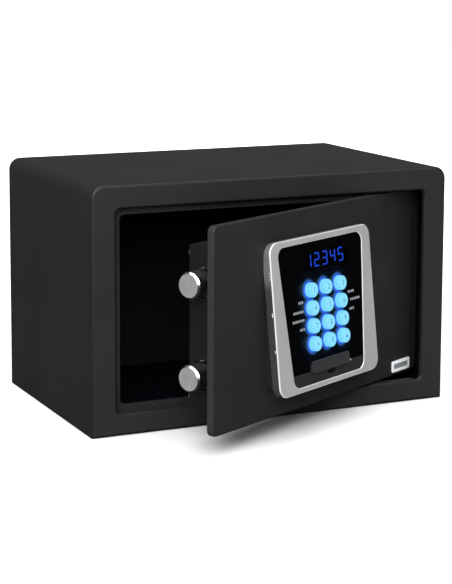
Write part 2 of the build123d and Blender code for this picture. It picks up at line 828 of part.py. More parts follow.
# ---------------------------------------------------------------- emergency cylinder
def cylinder_front():
    """How far the nose of the cylinder stands in front of the front face."""
    return DOOR_FRONT - pad_face_back(FLAP_B) + NOSE_BACK


def lock_cylinder():
    x = PAD_X + FLAP_A
    z = lock_z()
    front = at(DOOR_FRONT)
    body = rod_y(NOSE_R, x, z, (at(cylinder_front()), at(CYLINDER_BACK)))
    body += rod_y(CYLINDER_R, x, z, (at(CYLINDER_NOSE_BACK), at(CYLINDER_BACK)))
    body += rod_y(SHOULDER_R, x, z, (front - SHOULDER_T, front))
    body -= rod_y(PLUG_R + RUN_GAP, x, z, (-FAR, FAR))
    return swing(body)


def cylinder_nut():
    x = PAD_X + FLAP_A
    door_back = at(DOOR_FRONT + DOOR_T)
    plane = Plane(origin=(x, door_back, lock_z()), x_dir=(1, 0, 0), z_dir=(0, 1, 0))
    nut = extrude(plane * RegularPolygon(NUT_R, 6), NUT_T)
    return swing(nut - rod_y(CYLINDER_R + RUN_GAP, x, lock_z(), (-FAR, FAR)))


def lock_plug():
    x = PAD_X + FLAP_A
    z = lock_z()
    front = at(cylinder_front())
    plug = rod_y(PLUG_R, x, z, (front, at(PLUG_BACK)))
    slot = block(
        (x - KEY_SLOT_W / 2, x + KEY_SLOT_W / 2),
        (front - KEY_SLOT_DEPTH, front + KEY_SLOT_DEPTH),
        (z - KEY_SLOT_H / 2, z + KEY_SLOT_H / 2),
    )
    return swing(plug - slot)


def lock_cam():
    x = PAD_X + FLAP_A
    z = lock_z()
    ys = (at(PLUG_BACK), at(PLUG_BACK + CAM_T))
    cam = rod_y(CAM_R, x, z, ys)
    cam += block((x - CAM_R, x + CAM_R), ys, (z - CAM_L + CAM_R, z))
    cam += rod_y(CAM_R, x, z - CAM_L + CAM_R, ys)
    return swing(cam)


# ---------------------------------------------------------------- lock cover
def lock_cover():
    door_back = at(DOOR_FRONT + DOOR_T)
    cover_back = at(COVER_BACK)
    box = block((COVER_X0, COVER_X1), (door_back, cover_back), (COVER_Z0, COVER_Z1))
    box = fillet(box.faces().sort_by(Axis.Y)[-1].edges(), COVER_BEND)
    box -= block(
        (COVER_X0 + COVER_WALL, COVER_X1 - COVER_WALL),
        (FRONT_Y, cover_back - COVER_WALL),
        (COVER_Z0 + COVER_WALL, COVER_Z1 - COVER_WALL),
    )
    for z in (BOLT_LOW_Z, BOLT_HIGH_Z):
        side = (COVER_X0 - COVER_WALL, COVER_X0 + COVER_WALL * 2)
        box -= rod_x(BOLT_HOLE_R, side, at(BOLT_BACK), z)
    ys = (cover_back - COVER_WALL * 2, cover_back + COVER_WALL)
    box -= rod_y(RESET_HOLE_R, RESET_X, RESET_Z, ys)
    box -= block(
        (HATCH_X0 + HATCH_WINDOW_INSET, HATCH_X1 - HATCH_WINDOW_INSET),
        ys,
        (HATCH_Z0 + HATCH_WINDOW_INSET, HATCH_Z1 - HATCH_WINDOW_INSET),
    )
    for x, z in STANDS:
        box -= rod_y(SCREW_R / 2, x, z, ys)
    return swing(box + hatch_rail(HATCH_X0, -1) + hatch_rail(HATCH_X1, 1))


def hatch_rail(x, side):
    """Angle rail that holds one long edge of the battery hatch."""
    back = at(COVER_BACK)
    top = back + HATCH_LIFT * 2 + HATCH_T
    zs = (HATCH_Z0, RAIL_LEN_Z1)
    near = x + side * HATCH_LIFT
    far = near + side * RAIL_T
    web = block(sorted((near, far)), (back - COVER_WALL / 2, top + RAIL_T), zs)
    lip = block(sorted((x - side * RAIL_LIP, near)), (top, top + RAIL_T), zs)
    return web + lip


def battery_hatch():
    back = at(COVER_BACK)
    inner = back + HATCH_LIFT
    xs = (HATCH_X0, HATCH_X1)
    plate = block(xs, (inner, inner + HATCH_T), (HATCH_Z0, HATCH_Z1))
    ribs = []
    outer = inner + HATCH_T
    rib_xs = (xs[0] + RAIL_LIP * 3, xs[1] - RAIL_LIP * 3)
    for step in range(HATCH_RIBS):
        z = HATCH_Z1 - HATCH_RIB_PITCH * (step + 2)
        ribs.append(block(rib_xs, (outer, outer + HATCH_RIB_T), (z, z + HATCH_RIB_W)))
    for rib in ribs:
        plate += rib
    return swing(plate)


def standoffs():
    door_back = at(DOOR_FRONT + DOOR_T)
    posts = []
    for x, z in STANDS:
        posts.append(swing(rod_y(STAND_R, x, z, (door_back, at(COVER_BACK - COVER_WALL)))))
    inset = BOARD_POST_INSET
    for x in (BOARD_X0 + inset, BOARD_X1 - inset):
        for z in (BOARD_Z0 + inset, BOARD_Z1 - inset):
            posts.append(swing(rod_y(BOARD_POST_R, x, z, (door_back, at(BOARD_FRONT)))))
    top = FASCIA_TOP - FASCIA_T
    bottom = MAT_TOP - MAT_PAD_T
    for a in (-POST_A, POST_A):
        for b in (POST_B0, POST_B1):
            posts.append(on_pad(Pos(a, b, (top + bottom) / 2) * Cylinder(POST_R, top - bottom)))
    return Compound(posts)


def cover_screws():
    back = at(COVER_BACK)
    screws = []
    for x, z in STANDS:
        head = rod_y(SCREW_R, x, z, (back, back + SCREW_T))
        head = fillet(head.faces().sort_by(Axis.Y)[-1].edges(), SCREW_SLOT)
        half = SCREW_SLOT / 2
        slot_ys = (back + SCREW_T / 2, back + SCREW_T * 2)
        head -= block((x - SCREW_R / 2, x + SCREW_R / 2), slot_ys, (z - half, z + half))
        head -= block((x - half, x + half), slot_ys, (z - SCREW_R / 2, z + SCREW_R / 2))
        screws.append(swing(head))
    return Compound(screws)


def reset_button():
    back = at(COVER_BACK)
    skirt_back = back - COVER_WALL - RESET_SKIRT_GAP
    button = rod_y(RESET_R, RESET_X, RESET_Z, (skirt_back, back + RESET_PROUD))
    button = fillet(button.faces().sort_by(Axis.Y)[-1].edges(), RESET_SKIRT_T / 2)
    button += rod_y(RESET_SKIRT_R, RESET_X, RESET_Z, (skirt_back - RESET_SKIRT_T, skirt_back))
    return swing(button)


# ---------------------------------------------------------------- bolts and drive
def lock_bolt(z):
    bolt = rod_x(BOLT_R, (BOLT_TIP_X, BOLT_END_X), at(BOLT_BACK), z)
    bolt = chamfer(bolt.faces().sort_by(Axis.X)[0].edges(), BOLT_CHAMFER)
    return swing(bolt)


def tooth_half(height):
    """Half thickness of a tooth at a height above the pitch line."""
    return TOOTH_FILL * TOOTH_PITCH / 2 - height * TOOTH_SLOPE


def rack_tooth(step):
    x = PINION_X + step * TOOTH_PITCH
    pitch_z = PINION_Z + PITCH_R
    tip = tooth_half(ADDENDUM)
    root = tooth_half(-DEDENDUM)
    plane = Plane(origin=(x, at(RACK_FRONT), pitch_z), x_dir=(1, 0, 0), z_dir=(0, -1, 0))
    outline = Polyline(
        (-tip, -ADDENDUM),
        (tip, -ADDENDUM),
        (root, DEDENDUM),
        (-root, DEDENDUM),
        close=True,
    )
    return extrude(plane * make_face(outline), -(RACK_BACK - RACK_FRONT))


def bolt_carriage():
    plate = block(
        (BOLT_END_X, BOLT_END_X + CARRIAGE_T),
        (at(CARRIAGE_FRONT), at(CARRIAGE_BACK)),
        (CARRIAGE_Z0, CARRIAGE_Z1),
    )
    root_z = PINION_Z + PITCH_R + DEDENDUM
    plate += block((BOLT_END_X, RACK_END_X), (at(RACK_FRONT), at(RACK_BACK)), (root_z, RACK_TOP))
    for step in range(RACK_TEETH_LEFT, RACK_TEETH_RIGHT + 1):
        plate += rack_tooth(step)
    return swing(plate)


def motor_pinion():
    ys = (at(RACK_FRONT), at(RACK_BACK))
    root_r = PITCH_R - DEDENDUM
    plane = Plane(origin=(PINION_X, ys[0], PINION_Z), x_dir=(1, 0, 0), z_dir=(0, -1, 0))
    wheel = rod_y(root_r, PINION_X, PINION_Z, ys)
    tip_r = PITCH_R + ADDENDUM
    inner_r = root_r - MODULE
    for step in range(TEETH):
        turn = 360.0 * (step + 0.5) / TEETH
        outline = Polyline(
            (inner_r, -tooth_half(-DEDENDUM)),
            (root_r, -tooth_half(-DEDENDUM)),
            (tip_r, -tooth_half(ADDENDUM)),
            (tip_r, tooth_half(ADDENDUM)),
            (root_r, tooth_half(-DEDENDUM)),
            (inner_r, tooth_half(-DEDENDUM)),
            close=True,
        )
        face = Rot(0, 0, 90.0 + turn) * make_face(outline)
        wheel += extrude(plane * face, -(ys[1] - ys[0]))
    wheel += rod_y(PINION_BOSS_R, PINION_X, PINION_Z, (ys[1], at(PINION_BOSS_BACK)))
    wheel += rod_y(SHAFT_R, PINION_X, PINION_Z, (at(SHAFT_FRONT), ys[1]))
    return swing(wheel)


def bolt_guide():
    door_back = at(DOOR_FRONT + DOOR_T)
    web = block((GUIDE_X0, GUIDE_X0 + GUIDE_T), (door_back, at(GUIDE_BACK)), (GUIDE_Z0, GUIDE_Z1))
    for z in (BOLT_LOW_Z, BOLT_HIGH_Z):
        span = (GUIDE_X0 - GUIDE_T, GUIDE_X0 + GUIDE_T * 2)
        web -= rod_x(BOLT_R + RUN_GAP, span, at(BOLT_BACK), z)
    foot = block(
        (GUIDE_X0, GUIDE_X0 + GUIDE_FOOT),
        (door_back, door_back + GUIDE_FOOT_T),
        (GUIDE_Z0, GUIDE_Z1),
    )
    return swing(web + foot)


def gear_motor():
    can = rod_y(MOTOR_R, PINION_X, PINION_Z, (at(MOTOR_FRONT), at(GEARBOX_FRONT)))
    can += rod_y(GEARBOX_R, PINION_X, PINION_Z, (at(GEARBOX_FRONT), at(GEARBOX_BACK)))
    bore = rod_y(SHAFT_R + RUN_GAP, PINION_X, PINION_Z, (at(SHAFT_FRONT - SHAFT_END_GAP), FAR))
    return swing(can - bore)


def motor_bracket():
    door_back = at(DOOR_FRONT + DOOR_T)
    x0 = PINION_X - MOTOR_PLATE_HALF
    x1 = PINION_X + MOTOR_PLATE_HALF
    zs = (MOTOR_PLATE_Z0, MOTOR_PLATE_Z1)
    plate = block((x0, x1), (at(GEARBOX_BACK), at(GEARBOX_BACK) + MOTOR_PLATE_T), zs)
    plate -= rod_y(MOTOR_HOLE_R, PINION_X, PINION_Z, (FRONT_Y, FAR))
    legs = (door_back, at(GEARBOX_BACK))
    plate += block((x0, x0 + MOTOR_PLATE_T), legs, zs)
    plate += block((x1 - MOTOR_PLATE_T, x1), legs, zs)
    return swing(plate)


def rack_guide():
    door_back = at(DOOR_FRONT + DOOR_T)
    zs = (RACK_TOP + RAIL_GAP, RAIL_TOP)
    return swing(block((RAIL_X0, RAIL_X1), (door_back, at(RAIL_BACK)), zs))


def limit_switches():
    door_back = at(DOOR_FRONT + DOOR_T)
    bodies = []
    for x, z in SWITCH_PLACES:
        bodies.append(swing(block((x, x + SWITCH_W), (door_back, at(SWITCH_BACK)), (z, z + SWITCH_H))))
    return Compound(bodies)


# ---------------------------------------------------------------- electronics and battery
def control_board():
    ys = (at(BOARD_FRONT), at(BOARD_FRONT) + BOARD_T)
    return swing(block((BOARD_X0, BOARD_X1), ys, (BOARD_Z0, BOARD_Z1)))


def board_parts():
    face = at(BOARD_FRONT) + BOARD_T
    parts = []
    for x, z, width, height, tall in CHIPS:
        parts.append(
            swing(
                block(
                    (x - width / 2, x + width / 2),
                    (face, face + tall),
                    (z - height / 2, z + height / 2),
                )
            )
        )
    plug_half = CABLE_W / 2 + CABLE_PLUG_MARGIN
    plug_xs = (CABLE_X - plug_half, CABLE_X + plug_half)
    plug_ys = (at(CABLE_TURN + CABLE_T), at(BOARD_FRONT))
    parts.append(swing(block(plug_xs, plug_ys, (CABLE_PLUG_Z0, CABLE_PLUG_Z1))))
    return Compound(parts)


def ribbon_cable():
    xs = (CABLE_X - CABLE_W / 2, CABLE_X + CABLE_W / 2)
    half = CABLE_T / 2
    tilt = math.radians(PAD_TILT)
    board_back = MAT_TOP - MAT_PAD_T - BOARD_T
    b = (CABLE_Z - PAD_Z) / math.cos(tilt)
    start = DOOR_FRONT - PAD_STAND + b * math.sin(tilt) - board_back * math.cos(tilt)
    top = half * math.tan(tilt)
    run = block(xs, (at(start + top * 4), at(CABLE_TURN)), (CABLE_Z - half, CABLE_Z + half))
    rise = block(xs, (at(CABLE_TURN), at(CABLE_TURN + CABLE_T)), (CABLE_Z - half, CABLE_PLUG_Z1))
    return swing(run + rise)


def battery_holder():
    wall = HOLDER_WALL
    door_back = at(DOOR_FRONT + DOOR_T)
    tray = block(
        (HOLDER_X0, HOLDER_X1),
        (at(HOLDER_FRONT), at(HOLDER_BACK)),
        (HOLDER_Z0, HOLDER_Z1),
    )
    tray -= block(
        (HOLDER_X0 + wall, HOLDER_X1 - wall),
        (at(HOLDER_FRONT + wall), FAR),
        (HOLDER_Z0 + wall, HOLDER_Z1 - wall),
    )
    for z in (HOLDER_Z0, HOLDER_Z1 - HOLDER_FOOT):
        foot = block((HOLDER_X0, HOLDER_X1), (door_back, at(HOLDER_FRONT)), (z, z + HOLDER_FOOT))
        tray += foot
    return swing(tray)


def battery_cells():
    cells = []
    for column, x in enumerate(CELL_XS):
        for layer, back in enumerate(CELL_BACKS):
            cell = rod_z(CELL_R, x, at(back), (CELL_Z0, CELL_Z0 + CELL_L))
            up = (column + layer) % 2 == 0
            cap_z0 = CELL_Z0 + CELL_L if up else CELL_Z0 - CELL_CAP_L
            cell += rod_z(CELL_CAP_R, x, at(back), (cap_z0, cap_z0 + CELL_CAP_L))
            cells.append(swing(cell))
    return Compound(cells)


PIECES = {
    "outer_wrap": outer_wrap,
    "base_plate": base_plate,
    "back_panel": back_panel,
    "front_frame": front_frame,
    "door_stop_frame": door_stop_frame,
    "strike_bracket": strike_bracket,
    "hinge_brackets": hinge_brackets,
    "hinge_bushes": hinge_bushes,
    "floor_mat": floor_mat,
    "keypad_base": keypad_base,
    "keypad_bezel": keypad_bezel,
    "keypad_fascia": keypad_fascia,
    "fascia_lower": fascia_lower,
    "display_lens": display_lens,
    "display_module": display_module,
    "display_digits": display_digits,
    "fascia_marks": fascia_marks,
    "key_mat": key_mat,
    "keypad_board": keypad_board,
    "keyhole_flap": keyhole_flap,
    "lock_cylinder": lock_cylinder,
    "cylinder_nut": cylinder_nut,
    "lock_plug": lock_plug,
    "lock_cam": lock_cam,
    "lock_cover": lock_cover,
    "battery_hatch": battery_hatch,
    "standoffs": standoffs,
    "cover_screws": cover_screws,
    "reset_button": reset_button,
    "bolt_carriage": bolt_carriage,
    "motor_pinion": motor_pinion,
    "bolt_guide": bolt_guide,
    "gear_motor": gear_motor,
    "motor_bracket": motor_bracket,
    "rack_guide": rack_guide,
    "limit_switches": limit_switches,
    "control_board": control_board,
    "board_parts": board_parts,
    "ribbon_cable": ribbon_cable,
    "battery_holder": battery_holder,
    "battery_cells": battery_cells,
}
DOOR_PIECES = {
    "door_plate": door_plate,
    "hinge_lugs": hinge_lugs,
    "hinge_pins": hinge_pins,
    "label_plate": label_plate,
}

os.makedirs("parts", exist_ok=True)
for node, make in PIECES.items():
    export_step(make(), "parts/" + node + ".step")
for node, make in DOOR_PIECES.items():
    export_step(swing(make()), "parts/" + node + ".step")
export_step(lock_bolt(BOLT_HIGH_Z), "parts/bolt_upper.step")
export_step(lock_bolt(BOLT_LOW_Z), "parts/bolt_lower.step")
for index, name in enumerate(KEY_NAMES):
    export_step(keycap(index), "parts/key_" + name + ".step")
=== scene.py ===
import json
import math
import random

import bmesh
import bpy
from mathutils import Matrix, Vector, noise


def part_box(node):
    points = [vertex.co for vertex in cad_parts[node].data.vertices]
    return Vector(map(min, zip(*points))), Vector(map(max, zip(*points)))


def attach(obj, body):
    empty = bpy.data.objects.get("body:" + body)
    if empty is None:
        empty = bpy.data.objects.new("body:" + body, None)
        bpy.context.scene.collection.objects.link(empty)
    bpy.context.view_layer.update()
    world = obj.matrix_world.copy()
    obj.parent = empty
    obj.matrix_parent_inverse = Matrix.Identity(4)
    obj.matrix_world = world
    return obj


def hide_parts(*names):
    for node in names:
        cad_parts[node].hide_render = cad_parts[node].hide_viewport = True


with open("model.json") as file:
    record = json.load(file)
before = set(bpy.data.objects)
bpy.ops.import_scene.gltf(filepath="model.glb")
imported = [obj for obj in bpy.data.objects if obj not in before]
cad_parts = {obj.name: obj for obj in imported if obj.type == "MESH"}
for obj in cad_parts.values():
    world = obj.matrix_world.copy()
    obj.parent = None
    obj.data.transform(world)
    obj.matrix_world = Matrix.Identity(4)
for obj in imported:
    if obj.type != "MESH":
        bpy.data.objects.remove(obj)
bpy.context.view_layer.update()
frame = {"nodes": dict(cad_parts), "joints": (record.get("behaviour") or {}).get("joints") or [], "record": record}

MM = 0.001
NODES = frame["nodes"]
JOINTS = {joint["name"]: joint for joint in frame["joints"]}
KEYS = ["1", "2", "3", "4", "5", "6", "7", "8", "9", "clear", "0", "lock"]
KEY_COLUMNS = 3

# Camera: where it stands, where it looks and how long its lens is.
CAMERA_PLACE = Vector((-0.636, -1.355, 0.384))
CAMERA_YAW = 25.22
CAMERA_PITCH = 8.24
CAMERA_ROLL = 0.26
CAMERA_LENS = 108.5
CAMERA_SHIFT = (-0.0009, -0.1575)

# Sheet metal of the cabinet and its bends.
SHEET = 2 * MM
BEND_R = 10 * MM

# Carpet: the holes over the anchors, the notch at the hinge, and its pile.
CARPET_VOXEL = 1.25 * MM
PILE_FIBRES = 9000
FIBRE_SIDES = 3

# Prints on the key caps.
PRINT_DIGIT = 6.2 * MM
PRINT_THICK = 0.06 * MM
PRINT_RISE = 0.02 * MM
LOCK_HALF_W, LOCK_FOOT, LOCK_TOP = 1.3 * MM, -1.5 * MM, 0.2 * MM
SHACKLE_OUTER, SHACKLE_INNER, SHACKLE_STEPS = 0.95 * MM, 0.55 * MM, 8
CROSS_HALF = (1.6 * MM, 0.25 * MM)

# The floor runs this far each way, and lies just under the base.
FLOOR_HALF = 30.0
FLOOR_DROP = 0.0002

# Light of the surroundings on the object, and what the camera sees of them.
WORLD_LIGHT = 0.02
WORLD_SEEN = 1.0
SUN_STRENGTH = 3.7
SUN_ANGLE = math.radians(80)
SUN_TILT = (math.radians(14), 0, math.radians(-25))


# ---------------------------------------------------------------- frames of reference
# The keypad unit has its own axes: across, up its tilted face, and out of it.
PAD_OUT = -Vector(JOINTS["key_5_press"]["axis"]).normalized()
PAD_ACROSS = -Vector(JOINTS["keyhole_flap_lift"]["axis"]).normalized()
PAD_UP = PAD_OUT.cross(PAD_ACROSS).normalized()
PAD_AXES = (PAD_ACROSS, PAD_UP, PAD_OUT)
# The door's own axes: across, out of its front, and up.
BOLT_OUT = Vector(JOINTS["bolt_slide"]["axis"]).normalized()
DOOR_ACROSS = -BOLT_OUT
DOOR_UP = Vector((0, 0, 1))
DOOR_OUT = DOOR_ACROSS.cross(DOOR_UP).normalized()
DOOR_AXES = (DOOR_ACROSS, DOOR_UP, DOOR_OUT)


def spans(node, axes):
    """Lowest and highest point of a CAD node along each of three directions."""
    points = [vertex.co for vertex in NODES[node].data.vertices]
    found = []
    for axis in axes:
        values = [point.dot(axis) for point in points]
        found.append((min(values), max(values)))
    return found


def middle(span):
    return (span[0] + span[1]) / 2


def to_row(axes, origin=(0, 0, 0)):
    """Matrix that takes local coordinates along three axes to the row frame."""
    turn = Matrix((axes[0], axes[1], axes[2])).transposed().to_4x4()
    return Matrix.Translation(turn.to_3x3() @ Vector(origin)) @ turn


# ---------------------------------------------------------------- materials
class Paint:
    """One material: a Principled surface, and short calls that add nodes in front of it."""

    def __init__(self, name, **sockets):
        self.material = bpy.data.materials.new(name)
        self.material.use_nodes = True
        self.tree = self.material.node_tree
        self.surface = self.tree.nodes["Principled BSDF"]
        self.place = self.node("TexCoord").outputs["Object"]
        for label, value in sockets.items():
            self.set(label, value)

    def set(self, label, value):
        self.put(self.surface.inputs[label.replace("_", " ")], value)

    def put(self, socket, value):
        if isinstance(value, bpy.types.NodeSocket):
            self.tree.links.new(value, socket)
        elif socket.type == "RGBA":
            socket.default_value = (*value, 1.0)
        else:
            socket.default_value = value

    def node(self, kind, inputs=None, **settings):
        made = self.tree.nodes.new("ShaderNode" + kind)
        for key, value in settings.items():
            setattr(made, key, value)
        for key, value in (inputs or {}).items():
            self.put(made.inputs[key], value)
        return made

    def calc(self, operation, *values):
        made = self.node("Math", dict(enumerate(values)), operation=operation)
        return made.outputs[0]

    def along(self, direction, origin=0.0):
        """Distance of the shaded point along a direction, in metres."""
        dot = self.node("VectorMath", {0: self.place, 1: tuple(direction)}, operation="DOT_PRODUCT")
        return self.calc("SUBTRACT", dot.outputs["Value"], origin)

    def facing(self, direction):
        """Cosine of the angle between the surface and a direction, fixed to the object."""
        normal = self.node("TexCoord").outputs["Normal"]
        dot = self.node("VectorMath", {0: normal, 1: tuple(direction)}, operation="DOT_PRODUCT")
        return dot.outputs["Value"]

    def band(self, value, low, high, soft):
        """One between two values and nothing outside them."""
        rising = self.range(value, low - soft, low + soft)
        falling = self.range(value, high - soft, high + soft, 1.0, 0.0)
        return self.calc("MULTIPLY", rising, falling)

    def noise(self, scale, detail=2.0, stretch=None):
        where = self.place
        if stretch:
            mapping = self.node("Mapping", {"Vector": where, "Scale": stretch})
            where = mapping.outputs["Vector"]
        made = self.node("TexNoise", {"Vector": where, "Scale": scale, "Detail": detail})
        return made.outputs["Fac"]

    def cells(self, scale, feature="F1"):
        made = self.node("TexVoronoi", {"Vector": self.place, "Scale": scale}, feature=feature)
        return made.outputs["Distance"]

    def range(self, value, low, high, to_low=0.0, to_high=1.0):
        inputs = {"Value": value, "From Min": low, "From Max": high, "To Min": to_low, "To Max": to_high}
        return self.node("MapRange", inputs).outputs["Result"]

    def mix(self, share, first, second):
        made = self.node("Mix", data_type="RGBA")
        self.put(made.inputs["Factor"], share)
        self.put(made.inputs[6], first)
        self.put(made.inputs[7], second)
        return made.outputs[2]

    def bump(self, height, distance, strength=1.0, under=None):
        inputs = {"Height": height, "Distance": distance, "Strength": strength}
        if under is not None:
            inputs["Normal"] = under
        return self.node("Bump", inputs).outputs["Normal"]


def tones(colour, spread):
    """A darker and a lighter tone of one colour."""
    return tuple(c * (1 - spread) for c in colour), tuple(min(1, c * (1 + spread)) for c in colour)


def cabinet_shade_masks(paint):
    """Painted shade on the cabinet: its inside, a dark line where its front frame meets the wrap, and a darker
    band where its front edge bends.
    """
    low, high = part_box("outer_wrap")
    frame_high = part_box("front_frame")[1]
    half_sheet = SHEET / 2
    # Distance past the flat faces, round the two bent top corners.
    side = paint.calc("SUBTRACT", paint.calc("ABSOLUTE", paint.along((1, 0, 0))), high.x - BEND_R)
    rise = paint.along((0, 0, 1), high.z - BEND_R)
    reach = [paint.calc("POWER", paint.calc("MAXIMUM", value, 0.0), 2.0) for value in (side, rise)]
    skin = paint.calc("SQRT", paint.calc("ADD", *reach))
    # Painted shade: the inside of the cabinet is painted near black.
    inside_shade = paint.range(skin, BEND_R - half_sheet, BEND_R - half_sheet / 2, 1.0, 0.0)
    depth = paint.band(paint.along((0, 1, 0)), frame_high.y + half_sheet / 2, high.y - half_sheet, 0.1 * MM)
    floor = paint.range(paint.along((0, 0, 1)), low.z + half_sheet / 2, low.z + half_sheet)
    inside_shade = paint.calc("MULTIPLY", inside_shade, paint.calc("MULTIPLY", depth, floor))
    # Painted shade: a dark line on the seam where the front frame meets the wrap.
    seam_shade = paint.band(paint.along((0, 1, 0)), low.y - 0.25 * MM, low.y + 0.25 * MM, 0.25 * MM)
    # Painted shade: the band where the front edge bends is painted darker.
    edge = paint.band(paint.facing((0, -1, 0)), 0.25, 0.93, 0.08)
    return inside_shade, seam_shade, edge


def powder_coat(name, colour, rough=(0.42, 0.56), specular=0.35, cabinet=False):
    """Sprayed and baked powder: fine grain over a soft orange peel, slightly cloudy."""
    paint = Paint(name, Specular_IOR_Level=specular)
    grain = paint.noise(2300, 2)
    peel = paint.noise(330, 2)
    cloud = paint.noise(18, 3)
    dark, light = tones(colour, 0.16)
    blend = paint.calc("ADD", paint.calc("MULTIPLY", grain, 0.5), paint.calc("MULTIPLY", cloud, 0.5))
    tone = paint.mix(paint.range(blend, 0.36, 0.64), dark, light)
    if cabinet:
        # Painted shade on the cabinet: darker inside, along the seam and on the bent front edge.
        inside_shade, seam_shade, edge = cabinet_shade_masks(paint)
        tone = paint.mix(paint.calc("MULTIPLY", edge, 0.85), tone, SHADE_BLACK)
        tone = paint.mix(inside_shade, tone, SHADE_BLACK)
        tone = paint.mix(paint.calc("MULTIPLY", seam_shade, 0.9), tone, SHADE_BLACK)
    paint.set("Base Color", tone)
    paint.set("Roughness", paint.range(grain, 0.3, 0.7, *rough))
    relief = paint.bump(peel, 0.00006, 0.5)
    paint.set("Normal", paint.bump(grain, 0.00004, 0.55, relief))
    return paint


def moulded(name, colour, rough=0.5, grain=1900, **sockets):
    """Moulded plastic with a spark-eroded grain."""
    paint = Paint(name, **sockets)
    texture = paint.noise(grain, 3)
    cloud = paint.noise(35, 2)
    dark, light = tones(colour, 0.12)
    paint.set("Base Color", paint.mix(paint.range(cloud, 0.35, 0.65), dark, light))
    paint.set("Roughness", paint.range(texture, 0.3, 0.7, rough - 0.05, rough + 0.06))
    paint.set("Normal", paint.bump(texture, 0.00003, 0.6))
    return paint


def metal(name, colour, rough):
    """Rolled or plated metal with faint streaks and fine scratches."""
    streak = (1, 1, 30)
    paint = Paint(name, Metallic=1.0)
    streaks = paint.noise(120, 3, streak)
    fine = paint.noise(900, 2, streak)
    dark, light = tones(colour, 0.1)
    paint.set("Base Color", paint.mix(paint.range(streaks, 0.35, 0.65), dark, light))
    paint.set("Roughness", paint.range(fine, 0.3, 0.7, rough * 0.75, rough * 1.3))
    paint.set("Normal", paint.bump(fine, 0.00001, 0.5))
    return paint


def turned_chrome(name, axis, centres):
    """Plated bolt with faint lathe rings on its end face and a painted highlight on its bevel rim."""
    paint = Paint(name, Metallic=1.0)
    # The nearer of the two bolt axes sets the rings' centre.
    across = Vector((0, 0, 1)).cross(axis)
    side = paint.along(across, centres[0][0])
    levels = [paint.calc("ABSOLUTE", paint.along((0, 0, 1), z)) for _, z in centres]
    height = paint.calc("MINIMUM", levels[0], levels[1])
    square = paint.calc("ADD", paint.calc("MULTIPLY", side, side), paint.calc("MULTIPLY", height, height))
    radius = paint.calc("SQRT", square)
    rings = paint.calc("SINE", paint.calc("MULTIPLY", radius, 2 * math.pi / (0.55 * MM)))
    smear = paint.noise(160, 3)
    out = paint.facing(axis)
    # Painted highlight: the bevel rim round each end face is painted brighter.
    rim = paint.band(out, 0.4, 0.95, 0.05)
    face = paint.mix(paint.range(smear, 0.3, 0.7), (0.56, 0.56, 0.57), (0.70, 0.70, 0.71))
    paint.set("Base Color", paint.mix(rim, face, (0.78, 0.78, 0.78)))
    paint.set("Roughness", paint.range(smear, 0.3, 0.7, 0.16, 0.30))
    paint.set("Normal", paint.bump(rings, 0.000004, 0.35))
    return paint


def key_distance(paint):
    """Distance from the shaded point to the axis of the nearest key, in metres."""
    first, second = KEY_SPOTS["1"], KEY_SPOTS["2"]
    pitch_across = second[0] - first[0]
    pitch_up = first[1] - KEY_SPOTS["4"][1]
    offsets = []
    for axis, start, pitch, steps in (
        (PAD_ACROSS, first[0], pitch_across, KEY_COLUMNS - 1),
        (PAD_UP, KEY_SPOTS["0"][1], pitch_up, len(KEYS) // KEY_COLUMNS - 1),
    ):
        value = paint.along(axis, start)
        step = paint.calc("ROUND", paint.calc("DIVIDE", value, pitch))
        step = paint.calc("MINIMUM", paint.calc("MAXIMUM", step, 0.0), float(steps))
        offset = paint.calc("SUBTRACT", value, paint.calc("MULTIPLY", step, pitch))
        offsets.append(paint.calc("MULTIPLY", offset, offset))
    return paint.calc("SQRT", paint.calc("ADD", *offsets))


def black_gloss(paint):
    """Black tint and gloss that the panel and its window share."""
    haze = paint.noise(60, 3)
    paint.set("Base Color", paint.mix(haze, (0.0006, 0.0006, 0.0009), (0.0012, 0.0012, 0.0016)))
    paint.set("Roughness", paint.range(haze, 0.3, 0.7, 0.15, 0.20))


def glossy_fascia():
    """Black panel with the keys' blue light spill painted round each key as emission."""
    paint = Paint("fascia_black", Specular_IOR_Level=0.12)
    black_gloss(paint)
    paint.set("Normal", paint.bump(paint.noise(900, 1), 0.000004, 0.2))
    distance = key_distance(paint)
    near = paint.calc("POWER", paint.range(distance, KEY_RADIUS, KEY_RADIUS + 4.0 * MM, 1.0, 0.0), 2.0)
    wide = paint.calc("POWER", paint.range(distance, KEY_RADIUS, KEY_RADIUS + 15 * MM, 1.0, 0.0), 2.0)
    spill = paint.calc("ADD", paint.calc("MULTIPLY", near, 1.1), paint.calc("MULTIPLY", wide, 0.014))
    paint.set("Emission Color", paint.mix(near, (0.10, 0.36, 1.0), (0.003, 0.05, 1.0)))
    paint.set("Emission Strength", spill)
    return paint


def lit_key():
    """Frosted cap with a lamp under it: pale all over, deep blue where it leaves the panel."""
    paint = Paint("key_glow", Specular_IOR_Level=0.3)
    distance = key_distance(paint)
    rim = paint.range(distance, KEY_RADIUS * 0.3, KEY_RADIUS * 1.02)
    foot = paint.calc("POWER", paint.range(paint.along(PAD_OUT, PANEL_LEVEL), 0.0, 1.2 * MM, 1.0, 0.0), 1.5)
    patchy = paint.noise(420, 2)
    level = paint.calc("ADD", rim, paint.range(patchy, 0.3, 0.7, -0.15, 0.15))
    glow = paint.mix(level, (0.27, 0.74, 0.90), (0.18, 0.65, 0.93))
    paint.set("Base Color", (0.03, 0.07, 0.10))
    paint.set("Roughness", paint.range(patchy, 0.3, 0.7, 0.30, 0.42))
    paint.set("Emission Color", paint.mix(foot, glow, (0.004, 0.10, 1.0)))
    paint.set("Emission Strength", paint.range(rim, 0.0, 1.0, 0.97, 0.92))
    return paint


